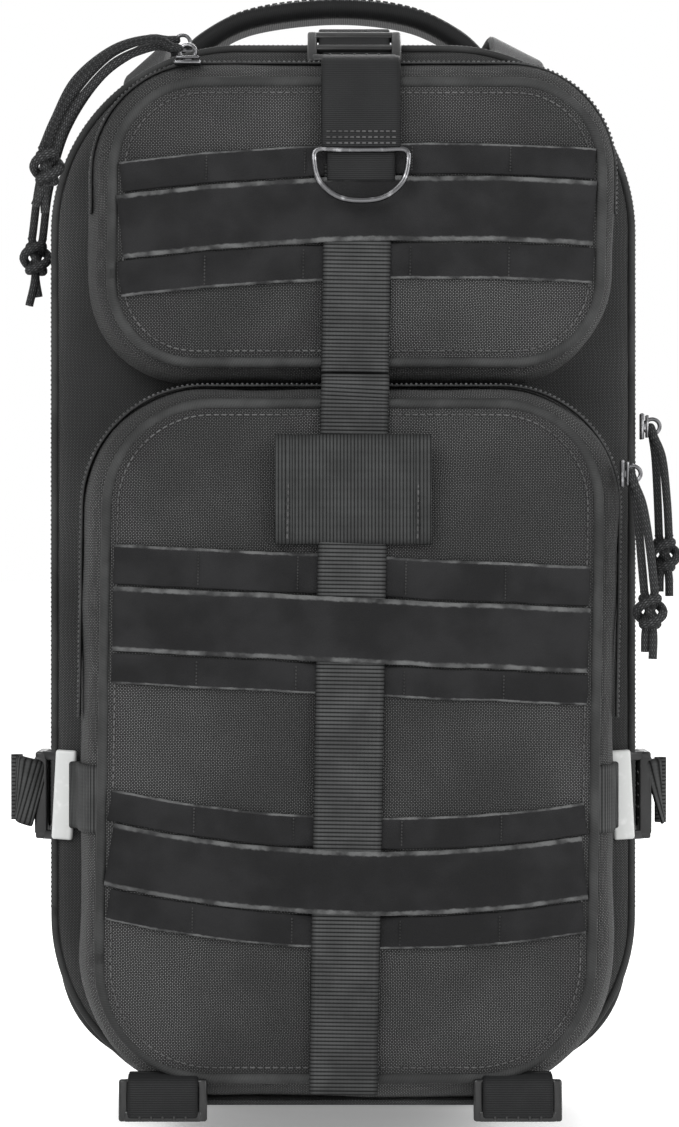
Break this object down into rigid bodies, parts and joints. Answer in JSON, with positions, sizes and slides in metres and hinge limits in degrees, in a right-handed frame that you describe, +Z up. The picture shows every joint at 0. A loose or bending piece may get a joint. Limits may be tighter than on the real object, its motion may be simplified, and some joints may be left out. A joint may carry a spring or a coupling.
{
  "type": "trauma backpack",
  "caption": "Upright medical backpack with a two-compartment zipped body, two zipped front pockets, loop bands, webbing, ladder-locks, ring and cord pulls.",
  "frame": {"origin": "on the ground under the middle of the pack's body, on the flat base of the main compartment", "axes": "+Z up, -Y out of the front with the pockets, +Y towards the wearer, +X to the right as seen from the front"},
  "size_m": [0.3072, 0.2467, 0.5155],
  "materials": {
    "fabric": "coarse basket-weave nylon",
    "lining": "air mesh over foam",
    "loop": "fuzzy loop tape",
    "webbing": "ribbed nylon webbing",
    "plastic": "satin moulded",
    "metal": "black oxide with worn edges",
    "cord": "braided cord"
  },
  "bodies": {
    "root": {"main_shell": "fabric", "front_base": "fabric", "back_pad": "lining", "load_lifter_left": "webbing", "load_lifter_right": "webbing", "bottom_strap_left": "webbing", "bottom_strap_right": "webbing", "bottom_ladder_lock_left": "plastic", "bottom_ladder_lock_right": "plastic"},
    "main_flap": {"second_shell": "fabric", "main_zip": "plastic", "main_pull_slider": "metal"},
    "second_flap": {"second_panel": "fabric", "second_zip": "plastic", "lower_gusset": "fabric", "upper_gusset": "fabric", "side_strap_front_left": "webbing", "side_strap_front_right": "webbing"},
    "lower_flap": {"lower_panel": "fabric", "lower_zip": "plastic", "middle_band_low": "loop", "middle_band_wide": "loop", "middle_band_high": "loop", "lower_band_low": "loop", "lower_band_wide": "loop", "lower_band_high": "loop", "webbing_patch": "webbing", "lower_centre_webbing": "webbing"},
    "upper_flap": {"upper_panel": "fabric", "upper_zip": "plastic", "upper_band_low": "loop", "upper_band_wide": "loop", "upper_band_high": "loop", "upper_centre_webbing": "webbing", "top_strap": "webbing"},
    "top_lock": {"top_ladder_lock": "plastic"},
    "ring": {"d_ring": "metal"},
    "handle": {"grab_handle": "webbing"},
    "shoulder_left": {"shoulder_strap_left": "fabric"},
    "side_lock_left": {"side_buckle_left": "plastic"},
    "side_end_left": {"side_tail_left": "webbing"},
    "shoulder_right": {"shoulder_strap_right": "fabric"},
    "side_lock_right": {"side_buckle_right": "plastic"},
    "side_end_right": {"side_tail_right": "webbing"},
    "upper_pull_slider": {"upper_pull_slider": "metal"},
    "upper_pull": {"upper_pull_cord_1": "cord", "upper_pull_cord_2": "cord", "upper_pull_knot": "cord"},
    "main_pull": {"main_pull_cord_1": "cord", "main_pull_cord_2": "cord", "main_pull_knot": "cord"},
    "lower_pull_slider": {"lower_pull_slider": "metal"},
    "lower_pull": {"lower_pull_cord_1": "cord", "lower_pull_cord_2": "cord", "lower_pull_knot": "cord"},
    "second_pull_slider": {"second_pull_slider": "metal"},
    "second_pull": {"second_pull_cord_1": "cord", "second_pull_cord_2": "cord", "second_pull_knot": "cord"}
  },
  "joints": [
    {"name": "main_flap_open", "type": "hinge", "parent": "root", "child": "main_flap", "pos_m": [0, -0.116, 0.04], "axis": [1, 0, 0], "range_deg": [0, 35]},
    {"name": "second_flap_open", "type": "hinge", "parent": "main_flap", "child": "second_flap", "pos_m": [0, -0.116, 0.04], "axis": [1, 0, 0], "range_deg": [0, 20]},
    {"name": "lower_pocket_open", "type": "hinge", "parent": "second_flap", "child": "lower_flap", "pos_m": [0, -0.116, 0.04], "axis": [1, 0, 0], "range_deg": [0, 30]},
    {"name": "upper_pocket_open", "type": "hinge", "parent": "second_flap", "child": "upper_flap", "pos_m": [0, -0.106, 0.332], "axis": [1, 0, 0], "range_deg": [0, 70]},
    {"name": "top_lock_tilt", "type": "hinge", "parent": "second_flap", "child": "top_lock", "pos_m": [0, -0.0665, 0.4812], "axis": [-1, 0, 0], "range_deg": [0, 50]},
    {"name": "d_ring_swing", "type": "hinge", "parent": "upper_flap", "child": "ring", "pos_m": [0, -0.1132, 0.424], "axis": [-1, 0, 0], "range_deg": [0, 75]},
    {"name": "handle_tilt", "type": "hinge", "parent": "root", "child": "handle", "pos_m": [0, 0.0455, 0.481], "axis": [1, 0, 0], "range_deg": [-25, 25]},
    {"name": "shoulder_swing_left", "type": "hinge", "parent": "root", "child": "shoulder_left", "pos_m": [-0.05, 0.097, 0.452], "axis": [1, 0, 0], "range_deg": [0, 35]},
    {"name": "side_lock_tilt_left", "type": "hinge", "parent": "root", "child": "side_lock_left", "pos_m": [-0.132, -0.0385, 0.151], "axis": [0, 0, -1], "range_deg": [0, 35]},
    {"name": "side_end_swing_left", "type": "hinge", "parent": "side_lock_left", "child": "side_end_left", "pos_m": [-0.1362, -0.052, 0.152], "axis": [0, 0, -1], "range_deg": [0, 50]},
    {"name": "shoulder_swing_right", "type": "hinge", "parent": "root", "child": "shoulder_right", "pos_m": [0.05, 0.097, 0.452], "axis": [1, 0, 0], "range_deg": [0, 35]},
    {"name": "side_lock_tilt_right", "type": "hinge", "parent": "root", "child": "side_lock_right", "pos_m": [0.132, -0.0385, 0.151], "axis": [0, 0, 1], "range_deg": [0, 35]},
    {"name": "side_end_swing_right", "type": "hinge", "parent": "side_lock_right", "child": "side_end_right", "pos_m": [0.1362, -0.052, 0.152], "axis": [0, 0, 1], "range_deg": [0, 50]},
    {"name": "upper_pull_travel", "type": "slide", "parent": "upper_flap", "child": "upper_pull_slider", "axis": [1, 0, 0], "range_m": [0, 0.035]},
    {"name": "upper_pull_swing", "type": "hinge", "parent": "upper_pull_slider", "child": "upper_pull", "pos_m": [-0.068, -0.102, 0.469], "axis": [0, 1, 0], "range_deg": [0, 45]},
    {"name": "main_pull_swing", "type": "hinge", "parent": "main_flap", "child": "main_pull", "pos_m": [-0.074, -0.0224, 0.486], "axis": [0, 1, 0], "range_deg": [0, 45]},
    {"name": "lower_pull_travel", "type": "slide", "parent": "lower_flap", "child": "lower_pull_slider", "axis": [0, 0, 1], "range_m": [-0.09, 0]},
    {"name": "lower_pull_swing", "type": "hinge", "parent": "lower_pull_slider", "child": "lower_pull", "pos_m": [0.1222, -0.11, 0.2885], "axis": [0, -1, 0], "range_deg": [0, 45]},
    {"name": "second_pull_travel", "type": "slide", "parent": "second_flap", "child": "second_pull_slider", "axis": [0, 0, 1], "range_m": [-0.06, 0.06]},
    {"name": "second_pull_swing", "type": "hinge", "parent": "second_pull_slider", "child": "second_pull", "pos_m": [0.1352, -0.0616, 0.3105], "axis": [0, -1, 0], "range_deg": [0, 45]}
  ]
}
